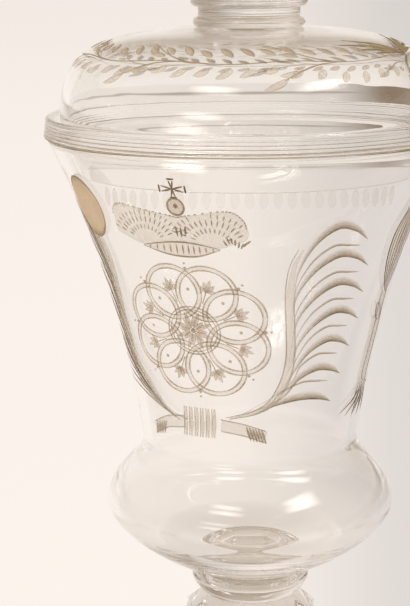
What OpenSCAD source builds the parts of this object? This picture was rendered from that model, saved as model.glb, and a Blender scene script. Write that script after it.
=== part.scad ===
// Covered glass goblet: a bell bowl over a bulb, on a faceted baluster stem, with a domed cover.
// Every piece is a gather of glass that was sealed hot to the next, so neighbours meet face to face.
// The axis of the goblet is Z, and the origin is the middle of the ring that the foot stands on.

/* [Foot] */
// Radius of the foot's outer edge
foot_r = 57; // [48:0.5:68]
// Thickness of the foot's rounded edge
foot_edge_t = 4.2; // [3:0.1:5.5]
// Height of the foot at its middle
foot_h = 16.2; // [13:0.1:22]
// Radius of the flat on top of the foot
foot_top_r = 12; // [10:0.5:14]
// Width of the ground ring that the foot stands on
foot_land_w = 5; // [3:0.5:8]
// Height of the hollow under the foot
foot_hollow_h = 6.5; // [4:0.1:7.5]
// Radius of the ground pontil spot under the foot
pontil_r = 9; // [6:0.5:11]
// Depth of the pontil spot
pontil_t = 0.8; // [0.4:0.1:1.5]

/* [Stem] */
// Radius of the disc on the foot
foot_merese_r = 16.5; // [14.5:0.5:20]
// Thickness of the disc on the foot
foot_merese_t = 4; // [3:0.1:5]
// Radius of the ball knop
knop_r = 13.5; // [11.5:0.5:17]
// Height of the ball knop
knop_h = 17; // [14:0.5:21]
// Radius of the flats where the ball knop is sealed
knop_seal_r = 8.5; // [7:0.5:9.5]
// Radius of the disc between knop and baluster
stem_merese_r = 14.5; // [12.5:0.5:18]
// Thickness of the disc between knop and baluster
stem_merese_t = 4; // [3:0.1:5]
// Height of the baluster
baluster_h = 64.5; // [55:0.5:80]
// Half width of the baluster across flats at its lower end
baluster_low_r = 8.2; // [7:0.1:9.5]
// Half width of the baluster across flats at its shoulder
baluster_shoulder_r = 20.6; // [18:0.1:24]
// Half width of the baluster across flats at its upper end
baluster_top_r = 13.2; // [11:0.1:14.5]
// Height of the cut slope from the shoulder to the upper end
shoulder_h = 6.6; // [5:0.1:10]
// Number of cut facets round a baluster
facets = 8; // [6:2:12]

/* [Bowl] */
// Radius of the disc under the bowl
bowl_merese_r = 18.5; // [17.5:0.5:22]
// Thickness of the disc under the bowl
bowl_merese_t = 5.8; // [4.5:0.1:7]
// Radius of that disc's lower face, drawn in towards the stem
bowl_merese_low_r = 14.2; // [13:0.1:17]
// Round on that disc's upper edge
bowl_merese_edge = 0.7; // [0.4:0.1:1.5]
// Radius of the button that seals the bowl to its disc
bowl_button_r = 13.6; // [11:0.1:15]
// Height of the button
bowl_button_h = 2.2; // [1.5:0.1:4]
// Largest radius of the bulb
bulb_r = 44.9; // [40:0.1:50]
// Height of the bulb from the button to its widest ring
bulb_low_h = 23.4; // [20:0.1:28]
// Height of the bulb from its widest ring to the waist
bulb_high_h = 17.9; // [15:0.1:22]
// Radius of the creased waist
waist_r = 33.2; // [30:0.1:37]
// Height of the bell from the waist to the lip
bell_h = 97; // [85:0.5:110]
// Outer radius of the lip
lip_r = 61.2; // [57:0.1:66]
// Wall of the bowl
bowl_wall = 2.6; // [2:0.1:3.4]
// Thickness of the bowl's floor above the button
floor_t = 7.4; // [5:0.1:9]
// Radius at which the thick floor meets the bulb's wall
floor_r = 29.5; // [24:0.5:33]
// Round on both edges of the lip
lip_round = 0.8; // [0.4:0.1:0.95]

/* [Cover] */
// How far the cover's rim stands out over the lip
rim_overhang = 1; // [0.5:0.1:3]
// Height of the cover's rim
rim_h = 6; // [5:0.1:8]
// Fine beads turned round the rim's lower edge
rim_beads = 4; // [2:1:4]
// Height of one bead
bead_h = 1.1; // [0.7:0.05:1.2]
// How far a bead swells out of the groove beside it
bead_bulge = 0.35; // [0.2:0.05:0.5]
// How much each bead draws in from the one below
bead_step = 0.15; // [0:0.05:0.3]
// How far the dome's wall stands in from the rim's edge
rim_ledge = 5; // [4:0.1:6.5]
// Height of the dome's top above the lip
dome_h = 32; // [28:0.1:38]
// Wall of the cover
cover_wall = 2.6; // [2:0.1:3.4]
// Depth of the flange below the lip
flange_h = 10.5; // [7:0.1:14]
// Thickness of the flange at its lower edge
flange_t = 1; // [0.8:0.1:2.4]
// Clearance between the flange's lower edge and the bowl's wall
flange_clearance = 2.2; // [1.2:0.1:4]

/* [Finial] */
// Radius of the collar's neck, and of the flat that the dome ends in below it
collar_seal_r = 15.3; // [13:0.1:15.8]
// Radius of the collar's ring
collar_ring_r = 16.9; // [16:0.1:19]
// Height of the collar's ring
collar_ring_h = 3; // [2.4:0.1:4]
// Height of the collar's hollowed neck
collar_neck_h = 3; // [2:0.1:4.5]
// Depth of the hollow round the collar's neck
collar_neck_cut = 0.5; // [0.3:0.1:1.2]
// Radius of the disc above the collar
cover_merese_r = 17.6; // [17:0.1:21]
// Thickness of the disc above the collar
cover_merese_t = 3.4; // [2.6:0.1:4.5]
// Height of the finial's baluster
finial_h = 40; // [32:0.5:50]
// Half width of the finial across flats at its lower end
finial_low_r = 8.6; // [7:0.1:10]
// Half width of the finial across flats at its belly
finial_belly_r = 12.8; // [11.5:0.1:15]
// Half width of the finial across flats at its upper end
finial_top_r = 4.6; // [3.8:0.1:6]
// Height of the finial's belly above its lower end
finial_belly_h = 10; // [8:0.5:13]
// Radius of the ball on top
tip_r = 6.8; // [6.2:0.1:9]
// Height of the ball on top
tip_h = 12.4; // [10:0.1:16]
// Radius of the flat under the ball
tip_seal_r = 4.6; // [3.8:0.1:5.5]

/* [Hidden] */
$fn = 96;

// Clear glass, and the denser look of the solid gathers
glass = [0.90, 0.89, 0.86, 0.45];
solid_glass = [0.84, 0.82, 0.78, 0.55];

// Heights of the seals, stacked from the table up
foot_merese_z = foot_h;
knop_z = foot_merese_z + foot_merese_t;
stem_merese_z = knop_z + knop_h;
baluster_z = stem_merese_z + stem_merese_t;
bowl_merese_z = baluster_z + baluster_h;
bowl_z = bowl_merese_z + bowl_merese_t;
bulb_z = bowl_z + bowl_button_h + bulb_low_h;
waist_z = bulb_z + bulb_high_h;
lip_z = waist_z + bell_h;
dome_top_z = lip_z + dome_h;
cover_merese_z = dome_top_z + collar_ring_h + collar_neck_h;
finial_z = cover_merese_z + cover_merese_t;
tip_z = finial_z + finial_h;

// Radii that follow from the others
rim_r = lip_r + rim_overhang;
dome_r = rim_r - rim_ledge;

// The bell's wall leans out at the lip and at the waist by these slopes, radius over height
lip_slope = 0.522;
waist_slope = 0.098;
// Shares of the bell's height over which each end keeps its slope
lip_reach = 0.276;
waist_reach = 0.266;
// The cover's flange leans out towards the lip by this slope, a little less than the bell's wall round it
flange_slope = 0.42;

// Steps along one curve and along one bead
curve_steps = 24;
bead_steps = 8;

// Points of a cubic curve from a to d that leaves towards b and arrives from c
function curve(a, b, c, d) = [
    for (i = [0:curve_steps])
        let (t = i / curve_steps, s = 1 - t)
            s * s * s * a + 3 * s * s * t * b + 3 * s * t * t * c + t * t * t * d
];

// Points of an elliptical arc about [r, z], from one angle to another
function arc(r, z, ar, az, from, to) = [
    for (i = [0:bead_steps])
        let (t = from + (to - from) * i / bead_steps)
            [r + ar * cos(t), z + az * sin(t)]
];

// A list without its first point, for a stretch that starts where the last one ended
function rest_of(points) = [for (i = [1:len(points) - 1]) points[i]];

// A list from its end to its start
function reversed(points) = [for (i = [len(points) - 1:-1:0]) points[i]];

// Radius of a rising curve at a height
function radius_at(points, z) = lookup(z, [for (p = points) [p[1], p[0]]]);

// Height of a widening curve at a radius
function height_at(points, r) = lookup(r, points);

// The bell's wall from the waist to the lip, with its outer face drawn in by a wall
function bell(wall, top_z) =
    let (rise = top_z - waist_z)
        curve([waist_r - wall, waist_z],
              [waist_r - wall + waist_slope * waist_reach * rise, waist_z + waist_reach * rise],
              [lip_r - wall - lip_slope * lip_reach * rise, top_z - lip_reach * rise],
              [lip_r - wall, top_z]);

// The bulb's upper half from its widest ring to the waist
function bulb_high(wall) =
    curve([bulb_r - wall, bulb_z],
          [bulb_r - wall, bulb_z + 0.46 * bulb_high_h],
          [waist_r - wall + 0.26 * (bulb_r - waist_r), waist_z - 0.25 * bulb_high_h],
          [waist_r - wall, waist_z]);

// The bulb's underside from the button to its widest ring
function bulb_low() =
    curve([bowl_button_r, bulb_z - bulb_low_h],
          [bowl_button_r + 0.36 * (bulb_r - bowl_button_r), bulb_z - 0.89 * bulb_low_h],
          [bulb_r, bulb_z - 0.36 * bulb_low_h],
          [bulb_r, bulb_z]);

// The bulb's floor: a shallow dish to where it meets the wall, then along the underside to the widest ring inside
function bulb_floor() =
    let (inner_r = bulb_r - bowl_wall,
         wall_w = inner_r - floor_r,
         floor_z = bowl_z + bowl_button_h + floor_t,
         corner_z = height_at(bulb_low(), floor_r) + bowl_wall,
         dish = corner_z - floor_z,
         depth = bulb_z - corner_z)
        concat(curve([0, floor_z],
                     [0.34 * floor_r, floor_z],
                     [0.73 * floor_r, floor_z + 0.1 * dish],
                     [floor_r, corner_z]),
               rest_of(curve([floor_r, corner_z],
                             [floor_r + 0.44 * wall_w, corner_z + 0.21 * depth],
                             [inner_r, bulb_z - 0.55 * depth],
                             [inner_r, bulb_z])));

// The dome from the top of the rim to the flat under the collar, drawn in by a wall
function dome(wall) =
    let (base_z = lip_z + rim_h, top_z = dome_top_z - wall, base_r = dome_r - wall)
        curve([base_r, base_z],
              [base_r, base_z + 0.76 * (top_z - base_z)],
              [collar_seal_r + 0.72 * (base_r - collar_seal_r), top_z - 0.03 * dome_h],
              [collar_seal_r, top_z]);

// A solid turned about the axis from a list of [radius, height]
module turned(points) {
    rotate_extrude()
        polygon(points);
}

// A solid whose every slice is a regular polygon, as wide across flats as the outline is
module cut_in_facets(points) {
    outline = concat(points, [for (p = reversed(points)) [-p[0], p[1]]]);
    widest = max([for (p = points) p[0]]);
    intersection_for (i = [0:facets / 2 - 1])
        rotate(i * 360 / facets)
            rotate([90, 0, 0])
                linear_extrude(height = 4 * widest, center = true)
                    polygon(outline);
}

// A flat disc with a round edge
module merese(r, z, t) {
    turned(concat([[0, z]],
                  arc(r - t / 2, z + t / 2, t / 2, t / 2, -90, 90),
                  [[0, z + t]]));
}

module foot() {
    edge = foot_edge_t / 2;
    land_out_r = foot_r - edge;
    land_in_r = land_out_r - foot_land_w;
    upper = curve([foot_r - edge, foot_edge_t],
                  [foot_r - 0.45 * (foot_r - foot_top_r), foot_edge_t + 0.12 * (foot_h - foot_edge_t)],
                  [foot_top_r + 0.22 * (foot_r - foot_top_r), foot_h - 0.3 * (foot_h - foot_edge_t)],
                  [foot_top_r, foot_h]);
    hollow = curve([pontil_r, foot_hollow_h],
                   [pontil_r + 0.4 * (land_in_r - pontil_r), foot_hollow_h],
                   [land_in_r - 0.2 * (land_in_r - pontil_r), 0.25 * foot_hollow_h],
                   [land_in_r, 0]);
    color(glass)
        turned(concat(arc(land_out_r, edge, edge, edge, -90, 90),
                      rest_of(upper),
                      [[0, foot_h], [0, foot_hollow_h + pontil_t], [pontil_r, foot_hollow_h + pontil_t]],
                      hollow));
}

module foot_merese() {
    color(solid_glass)
        merese(foot_merese_r, foot_merese_z, foot_merese_t);
}

module ball_knop() {
    // The ball is an ellipse cut flat where it is sealed
    cut = acos(knop_seal_r / knop_r);
    rise = knop_h / 2 / sin(cut);
    color(solid_glass)
        turned(concat([[0, knop_z]],
                      arc(0, knop_z + knop_h / 2, knop_r, rise, -cut, cut),
                      [[0, knop_z + knop_h]]));
}

module stem_merese() {
    color(solid_glass)
        merese(stem_merese_r, stem_merese_z, stem_merese_t);
}

module stem_baluster() {
    shoulder_z = bowl_merese_z - shoulder_h;
    taper = curve([baluster_low_r, baluster_z],
                  [baluster_low_r, baluster_z + 0.42 * baluster_h],
                  [baluster_shoulder_r, shoulder_z - 0.4 * baluster_h],
                  [baluster_shoulder_r, shoulder_z]);
    color(solid_glass)
        cut_in_facets(concat(taper, [[baluster_top_r, bowl_merese_z]]));
}

module bowl_merese() {
    // The disc is widest near its upper face and draws in below
    edge_z = bowl_z - bowl_merese_edge;
    overhang = bowl_merese_r - bowl_merese_low_r;
    rise = edge_z - bowl_merese_z;
    under = curve([bowl_merese_low_r, bowl_merese_z],
                  [bowl_merese_low_r + 0.4 * overhang, bowl_merese_z + 0.16 * rise],
                  [bowl_merese_low_r + 0.8 * overhang, bowl_merese_z + 0.55 * rise],
                  [bowl_merese_r, edge_z]);
    color(solid_glass)
        turned(concat([[0, bowl_merese_z]],
                      under,
                      rest_of(arc(bowl_merese_r - bowl_merese_edge, edge_z, bowl_merese_edge, bowl_merese_edge, 0, 90)),
                      [[0, bowl_z]]));
}

module bowl() {
    edge_z = lip_z - lip_round;
    outside = concat([[0, bowl_z], [bowl_button_r, bowl_z]],
                     bulb_low(),
                     rest_of(bulb_high(0)),
                     rest_of(bell(0, edge_z)));
    lip = concat(rest_of(arc(lip_r - lip_round, edge_z, lip_round, lip_round, 0, 90)),
                 arc(lip_r - bowl_wall + lip_round, edge_z, lip_round, lip_round, 90, 180));
    inside = concat(rest_of(reversed(bell(bowl_wall, edge_z))),
                    rest_of(reversed(bulb_high(bowl_wall))),
                    rest_of(reversed(bulb_floor())));
    color(glass)
        turned(concat(outside, lip, inside));
}

module cover_dome() {
    bead = bead_h / 2;
    rim_top_z = lip_z + rim_h;
    // The rim's beads, from the lowest up, each a half round drawn in from the one below
    beads = [
        for (i = [0:rim_beads - 1])
            each arc(rim_r - bead_bulge - i * bead_step, lip_z + (2 * i + 1) * bead, bead_bulge, bead, -90, 90)
    ];
    // A round shoulder from the last bead to the ledge that the dome rises from
    roll_r = rim_r - bead_bulge - (rim_beads - 1) * bead_step;
    roll_z = lip_z + rim_beads * bead_h;
    roll_h = rim_top_z - roll_z;
    roll = curve([roll_r, roll_z],
                 [roll_r + 0.1 * roll_h, roll_z + 0.6 * roll_h],
                 [roll_r - 0.1 * roll_h, rim_top_z],
                 [roll_r - 0.7 * roll_h, rim_top_z]);
    // The flange stands clear of the bowl's wall and leans with it, down to a round lower edge
    lean = atan(flange_slope);
    flange_edge = flange_t / 2;
    flange_z = lip_z - flange_h;
    flange_r = radius_at(bell(bowl_wall, lip_z), flange_z) - flange_clearance;
    foot_of_flange = arc(flange_r - flange_edge, flange_z + flange_edge, flange_edge, flange_edge,
                         180 - lean, 360 - lean);
    flange_foot = foot_of_flange[0];
    throat_h = rim_top_z - flange_foot[1];
    inner_r = dome_r - cover_wall;
    throat = curve([inner_r, rim_top_z],
                   [inner_r, rim_top_z - 0.1 * throat_h],
                   flange_foot + 0.7 * throat_h * [flange_slope, 1],
                   flange_foot);
    color(glass)
        turned(concat(beads,
                      rest_of(roll),
                      dome(0),
                      [[0, dome_top_z], [0, dome_top_z - cover_wall]],
                      reversed(dome(cover_wall)),
                      rest_of(throat),
                      rest_of(foot_of_flange),
                      [[flange_r + flange_slope * flange_h, lip_z]]));
}

module cover_collar() {
    ring = collar_ring_h / 2;
    neck_z = dome_top_z + collar_ring_h;
    color(solid_glass)
        turned(concat([[0, dome_top_z]],
                      arc(collar_ring_r - ring, dome_top_z + ring, ring, ring, -90, 90),
                      reversed(arc(collar_seal_r + collar_neck_cut, neck_z + collar_neck_h / 2,
                                   collar_neck_cut, collar_neck_h / 2, 90, 270)),
                      [[0, cover_merese_z]]));
}

module cover_merese() {
    color(solid_glass)
        merese(cover_merese_r, cover_merese_z, cover_merese_t);
}

module finial_baluster() {
    belly_z = finial_z + finial_belly_h;
    swell = curve([finial_low_r, finial_z],
                  [finial_low_r + 0.6 * (finial_belly_r - finial_low_r), finial_z + 0.2 * finial_belly_h],
                  [finial_belly_r, belly_z - 0.5 * finial_belly_h],
                  [finial_belly_r, belly_z]);
    taper = curve([finial_belly_r, belly_z],
                  [finial_belly_r, belly_z + 0.36 * (finial_h - finial_belly_h)],
                  [finial_top_r, tip_z - 0.42 * (finial_h - finial_belly_h)],
                  [finial_top_r, tip_z]);
    color(solid_glass)
        cut_in_facets(concat(swell, rest_of(taper)));
}

module finial_tip() {
    // The ball is an ellipse cut flat below, where it is sealed
    cut = acos(tip_seal_r / tip_r);
    rise = tip_h / (1 + sin(cut));
    color(solid_glass)
        turned(concat([[0, tip_z]],
                      arc(0, tip_z + rise * sin(cut), tip_r, rise, -cut, 90)));
}

foot();
foot_merese();
ball_knop();
stem_merese();
stem_baluster();
bowl_merese();
bowl();
cover_dome();
cover_collar();
cover_merese();
finial_baluster();
finial_tip();
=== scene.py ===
"""Looks of a covered glass goblet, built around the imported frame.

Each glass piece is a smooth surface turned about the axis, or cut in facets, from the curves of its solid.
The engraving is thin matt cuts that lie along paths on the outer walls of the bowl and of the cover.
"""
import math
from functools import partial

import bpy
import numpy as np
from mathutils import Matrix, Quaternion, Vector


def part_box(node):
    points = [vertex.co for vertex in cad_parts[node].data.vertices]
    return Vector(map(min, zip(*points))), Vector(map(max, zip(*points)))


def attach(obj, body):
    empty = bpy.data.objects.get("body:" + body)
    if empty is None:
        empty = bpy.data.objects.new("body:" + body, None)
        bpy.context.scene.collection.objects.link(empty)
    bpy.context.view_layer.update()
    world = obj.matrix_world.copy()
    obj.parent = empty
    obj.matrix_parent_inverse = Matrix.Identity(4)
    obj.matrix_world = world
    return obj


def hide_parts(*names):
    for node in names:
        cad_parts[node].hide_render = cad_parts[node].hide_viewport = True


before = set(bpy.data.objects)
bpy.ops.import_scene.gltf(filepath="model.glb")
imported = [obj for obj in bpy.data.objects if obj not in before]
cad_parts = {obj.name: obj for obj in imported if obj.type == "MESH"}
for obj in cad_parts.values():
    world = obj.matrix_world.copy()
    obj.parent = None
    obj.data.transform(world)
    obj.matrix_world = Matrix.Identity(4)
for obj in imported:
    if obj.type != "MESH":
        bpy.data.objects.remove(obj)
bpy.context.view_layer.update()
scene = bpy.context.scene

# Sizes are in millimetres, as in the part's source
MM = 0.001


def span(node):
    """Lowest and highest point of a node."""
    low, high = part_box(node)
    return low[2] / MM, high[2] / MM


def reach(node):
    """Largest radius of a node."""
    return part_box(node)[1][0] / MM


# Heights and radii that the frame gives
foot_r, foot_h = reach("foot"), span("foot")[1]
bowl_z, lip_z = span("bowl")
lip_r = reach("bowl")
dome_top_z = span("cover_dome")[1]
rim_r = reach("cover_dome")
stem_z, stem_top_z = span("stem_baluster")
finial_z, tip_z = span("finial_baluster")

# Foot
foot_edge_t = 4.2
foot_top_r = 12.0
foot_land_w = 5.0
foot_hollow_h = 6.5
pontil_r = 9.0
pontil_t = 0.8
# Knop and stem, where a facet's size is its distance from the axis
knop_seal_r = 8.5
stem_low_r = 8.2
stem_shoulder_r = 20.6
stem_top_r = 13.2
stem_shoulder_h = 6.6
facets = 8
# Bowl
bowl_merese_low_r = 14.2
bowl_merese_edge = 0.7
button_r = 13.6
button_h = 2.2
bulb_r = 44.9
bulb_low_h = 23.4
bulb_high_h = 17.9
waist_r = 33.2
bowl_wall = 2.6
floor_t = 7.4
floor_r = 29.5
lip_round = 0.8
bulb_z = bowl_z + button_h + bulb_low_h
waist_z = bulb_z + bulb_high_h
# Cover
rim_h = 6.0
rim_beads = 4
bead_h = 1.1
bead_step = 0.15
rim_ledge = 5.0
dome_r = rim_r - rim_ledge
cover_wall = 2.6
flange_h = 10.5
flange_t = 1.0
flange_clearance = 2.2
flange_slope = 0.42
collar_seal_r = 15.3
collar_ring_h = 3.0
collar_neck_cut = 0.5
# Finial
finial_low_r = 8.6
finial_belly_r = 12.8
finial_top_r = 4.6
finial_belly_h = 10.0
tip_seal_r = 4.6

# Pieces that were sealed hot run this far into each other, so that no air shows between them
seal_lap = 0.04
# The cover rests on the lip with this much room
seat_gap = 0.03


# Outlines: lists of (radius, height)

def curve(a, b, c, d, steps=48):
    """Cubic curve from a to d that leaves towards b and arrives from c."""
    t = np.linspace(0, 1, steps + 1)[:, None]
    a, b, c, d = (np.array(p, float) for p in (a, b, c, d))
    return (1 - t)**3 * a + 3 * (1 - t)**2 * t * b + 3 * (1 - t) * t**2 * c + t**3 * d


def bent(a, d, leave, arrive, steps=48):
    """Cubic curve from a to d whose two handles lie at shares, across and up, of the way between them."""
    a, way = np.array(a, float), np.subtract(d, a)
    return curve(a, a + way * leave, a + way * arrive, d, steps)


def arc(r, z, wide, high, start, end, steps=16):
    """Part of an ellipse about (r, z), from one angle in degrees to another."""
    t = np.radians(np.linspace(start, end, steps + 1))
    return np.stack([r + wide * np.cos(t), z + high * np.sin(t)], 1)


def straight(a, b, step=1.2):
    """Straight run from a to b in steps of about the given length."""
    a, b = np.array(a, float), np.array(b, float)
    count = max(1, round(float(np.linalg.norm(b - a)) / step))
    return a + (b - a) * np.linspace(0, 1, count + 1)[:, None]


def outline(*runs):
    """Runs joined end to end, with repeated points dropped."""
    points = np.concatenate(runs)
    moved = np.linalg.norm(np.diff(points, axis=0), axis=1) > 1e-5
    return points[np.concatenate([[True], moved])]


def sealed(*runs):
    """Runs closed to the axis by a flat at each end; the lower one sinks into the piece below by the lap."""
    points = np.concatenate(runs)
    low, high = points[0] - (0, seal_lap), points[-1]
    return outline(straight((0, low[1]), low), points, straight(high, (0, high[1])))


def bell(wall, top_z):
    """The bell from the waist to the lip, drawn in by a wall: nearly straight, leaning out at both ends."""
    rise = top_z - waist_z
    low_r, high_r = waist_r - wall, lip_r - wall
    low_lean, low_h, high_lean, high_h = 0.098, 0.266 * rise, 0.522, 0.276 * rise
    return curve((low_r, waist_z), (low_r + low_lean * low_h, waist_z + low_h),
                 (high_r - high_lean * high_h, top_z - high_h), (high_r, top_z), 96)


def bulb_high(wall):
    """The bulb's upper half, from its widest ring to the waist."""
    return bent((bulb_r - wall, bulb_z), (waist_r - wall, waist_z), (0, 0.46), (0.74, 0.75))


def bulb_low():
    """The bulb's underside, from the button to its widest ring."""
    return bent((button_r, bulb_z - bulb_low_h), (bulb_r, bulb_z), (0.36, 0.11), (1, 0.64), 64)


def bulb_floor():
    """The floor inside the bulb: a shallow dish out to the wall, then up along it to the widest ring."""
    floor_z = bowl_z + button_h + floor_t
    corner = floor_r, float(np.interp(floor_r, *bulb_low().T)) + bowl_wall
    return outline(bent((0, floor_z), corner, (0.34, 0), (0.73, 0.1)),
                   bent(corner, (bulb_r - bowl_wall, bulb_z), (0.44, 0.21), (1, 0.45), 64))


def eased(points, corner_z, extent):
    """Rounds a corner of an outline: the stretch within an extent of its height becomes one smooth bend."""
    near = np.flatnonzero(np.abs(points[:, 1] - corner_z) < extent)
    a, d = points[near[0]], points[near[-1]]
    corner = points[near[np.argmin(np.abs(points[near, 1] - corner_z))]]
    return np.concatenate([points[:near[0]], curve(a, a + (corner - a) * 0.7, d + (corner - d) * 0.7, d, 24),
                           points[near[-1] + 1:]])


def dome(wall, steps=96):
    """The dome from the top of the rim to the flat under the collar, drawn in by a wall."""
    base_z, top_z, base_r = lip_z + rim_h, dome_top_z - wall, dome_r - wall
    return curve((base_r, base_z), (base_r, base_z + 0.76 * (top_z - base_z)),
                 (collar_seal_r + 0.72 * (base_r - collar_seal_r), top_z - 0.03 * (dome_top_z - lip_z)),
                 (collar_seal_r, top_z), steps)


def tooled(points, pitch, height, from_r, fade):
    """Adds tool marks to an outline: a wave in height over radius that fades outwards from a radius."""
    r = points[:, 0]
    wave = height * np.sin(2 * np.pi * (r - from_r) / pitch) * np.exp(-((r - from_r) / fade)**2)
    return points - np.stack([0 * r, height + wave], 1) * (r > from_r + 0.01)[:, None]


# Meshes

def new_piece(name, points, material, quads=(), triangles=()):
    """A smooth mesh object from points in millimetres and the corners of its faces."""
    corners = np.concatenate([np.ravel(quads), np.ravel(triangles)]).astype(np.int32)
    sizes = np.concatenate([np.full(len(quads), 4), np.full(len(triangles), 3)]).astype(np.int32)
    mesh = bpy.data.meshes.new(name)
    mesh.vertices.add(len(points))
    mesh.vertices.foreach_set("co", (points * MM).astype(np.float32).ravel())
    mesh.loops.add(len(corners))
    mesh.loops.foreach_set("vertex_index", corners)
    mesh.polygons.add(len(sizes))
    mesh.polygons.foreach_set("loop_start", (np.cumsum(sizes) - sizes).astype(np.int32))
    mesh.update(calc_edges=True)
    mesh.validate()
    mesh.shade_smooth()
    mesh.materials.append(material)
    piece = bpy.data.objects.new(name, mesh)
    scene.collection.objects.link(piece)
    return piece


# Nodes of materials, lamps and the room

class Nodes:
    """The nodes of a material, lamp or world, added and linked by name."""

    def __init__(self, owner):
        self.owner = owner
        owner.use_nodes = True
        self.tree = owner.node_tree
        self.tree.nodes.clear()

    def set(self, node, key, value):
        """Links a socket, or sets a plain value."""
        if isinstance(value, bpy.types.NodeSocket):
            self.tree.links.new(value, node.inputs[key])
        else:
            node.inputs[key].default_value = value

    def add(self, kind, settings=None, ordered=(), **inputs):
        """Adds a node with settings as its properties and values or sockets as its inputs."""
        node = self.tree.nodes.new("ShaderNode" + kind)
        for key, value in (settings or {}).items():
            setattr(node, key, value)
        for place, value in enumerate(ordered):
            self.set(node, place, value)
        for key, value in inputs.items():
            self.set(node, key.replace("_", " "), value)
        return node

    def math(self, operation, *values):
        """A sum, product or the like of values."""
        return self.add("Math", {"operation": operation}, values).outputs["Value"]

    def noise(self, place, scale, detail):
        """Uneven spots over a place, finer with a larger scale."""
        return self.add("TexNoise", Vector=place, Scale=scale, Detail=detail).outputs["Fac"]

    def spread(self, value, start, end, low, high, kind="LINEAR"):
        """Carries the range from start to end over to the one from low to high."""
        return self.add("MapRange", {"interpolation_type": kind}, Value=value, From_Min=start, From_Max=end,
                        To_Min=low, To_Max=high).outputs["Result"]

    def ease(self, value, start, end, top=1.0):
        """A smooth rise from nothing at start to a top at end."""
        return self.spread(value, start, end, 0.0, top, "SMOOTHSTEP")

    def ramp(self, value, *stops):
        """A colour ramp over (place, colour) stops."""
        node = self.add("ValToRGB", Fac=value)
        elements = node.color_ramp.elements
        while len(elements) < len(stops):
            elements.new(0.5)
        for element, (place, colour) in zip(elements, stops):
            element.position = place
            element.color = (*colour, 1)
        return node.outputs["Color"]

    def mix(self, share, first, second):
        """A colour that turns from the first to the second with a share."""
        node = self.add("Mix", {"data_type": "RGBA"})
        for place, value in ((0, share), (6, first), (7, second)):
            self.set(node, place, value)
        return node.outputs[2]

    def finish(self, kind, shader):
        """Links a shader to the output and gives back the owner of the nodes."""
        self.add("Output" + kind, Surface=shader.outputs[0])
        return self.owner


def glass(name, tint, wave_height):
    """Clear blown glass: a faint warm tint and slow waves from turning, drawn out round the piece.

    Rays from lamps and rays that light other surfaces go straight through, a little darkened.
    """
    n = Nodes(bpy.data.materials.new(name))
    place = n.add("TexCoord").outputs["Object"]
    drawn_out = n.add("Mapping", Vector=place, Scale=(18, 18, 150)).outputs["Vector"]
    bump = n.add("Bump", Strength=1.0, Distance=wave_height, Height=n.noise(drawn_out, 1.0, 2.0))
    shine = n.spread(n.noise(place, 60.0, 3.0), 0.35, 0.75, 0.0, 0.008)
    body = n.add("BsdfPrincipled", Base_Color=tint, Roughness=shine, IOR=1.5, Transmission_Weight=1.0,
                 Normal=bump.outputs["Normal"])
    clear = n.add("BsdfTransparent", Color=(0.93, 0.925, 0.915, 1))
    rays = n.add("LightPath").outputs
    passing = n.math("MAXIMUM", rays["Is Shadow Ray"], rays["Is Diffuse Ray"])
    return n.finish("Material", n.add("MixShader", None, (passing, body.outputs[0], clear.outputs[0])))


clear_glass = glass("clear_glass", (0.99, 0.985, 0.975, 1), 0.00004)
cut_glass = glass("cut_glass", (0.985, 0.978, 0.965, 1), 0.00002)


def turn(node, body, material, points, angles, swell, sharp):
    """Glass in place of a node: its outline carried round the axis.

    (r, z) becomes (r s sin a, -r s cos a, z) at each angle a with swell s. The outline starts and ends on the
    axis, so the surface closes at both poles.
    """
    r, z = points[1:-1, 0][:, None], points[1:-1, 1][:, None]
    rings = np.stack([r * swell * np.sin(angles), -r * swell * np.cos(angles), z + 0 * angles], -1)
    rows, columns = rings.shape[:2]
    poles = np.array([[0, 0, points[0, 1]], [0, 0, points[-1, 1]]])
    corner = np.arange(rows * columns).reshape(rows, columns)
    beside = np.roll(corner, -1, axis=1)
    quads = np.stack([corner[:-1], beside[:-1], beside[1:], corner[1:]], -1).reshape(-1, 4)
    low, high = np.full(columns, rows * columns), np.full(columns, rows * columns + 1)
    fans = np.concatenate([np.stack([low, beside[0], corner[0]], -1),
                           np.stack([corner[-1], beside[-1], high], -1)])
    points = np.concatenate([rings.reshape(-1, 3), poles])
    piece = new_piece(node + "_glass", points, material, quads, fans)
    piece.data.set_sharp_from_angle(angle=math.radians(sharp))
    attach(piece, body)
    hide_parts(node)


def round_glass(node, body, points, columns=160):
    """Round clear glass: the outline carried round in even steps."""
    angles = np.linspace(0, 2 * np.pi, columns, endpoint=False)
    turn(node, body, clear_glass, points, angles, np.ones(columns), sharp=32.0)


def faceted_glass(node, body, points, columns=14, softness=70):
    """Glass cut in facets: each slice is a regular polygon with slightly worn corners.

    A slice's radius is 1 / (sum of cos(a - b)^n)^(1/n) over the facets' directions b, with softness n.
    """
    step = 2 * np.pi / facets
    t = np.linspace(-1, 1, columns, endpoint=False)
    within = step / 2 * (1.5 * t - 0.5 * t**3)
    angles = (np.arange(facets)[:, None] * step + within).ravel()
    facing = np.clip(np.cos(angles[:, None] - np.arange(facets) * step), 0, 1)
    swell = 1 / (facing**softness).sum(1)**(1 / softness)
    turn(node, body, cut_glass, points, angles, swell, sharp=50.0)


# Glass of the goblet

def disc(node):
    """Outline of a flat disc with a round edge, the size of a node."""
    low, high = span(node)
    half = (high - low) / 2
    return sealed(arc(reach(node) - half, low + half, half, half, -90, 90))


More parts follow.
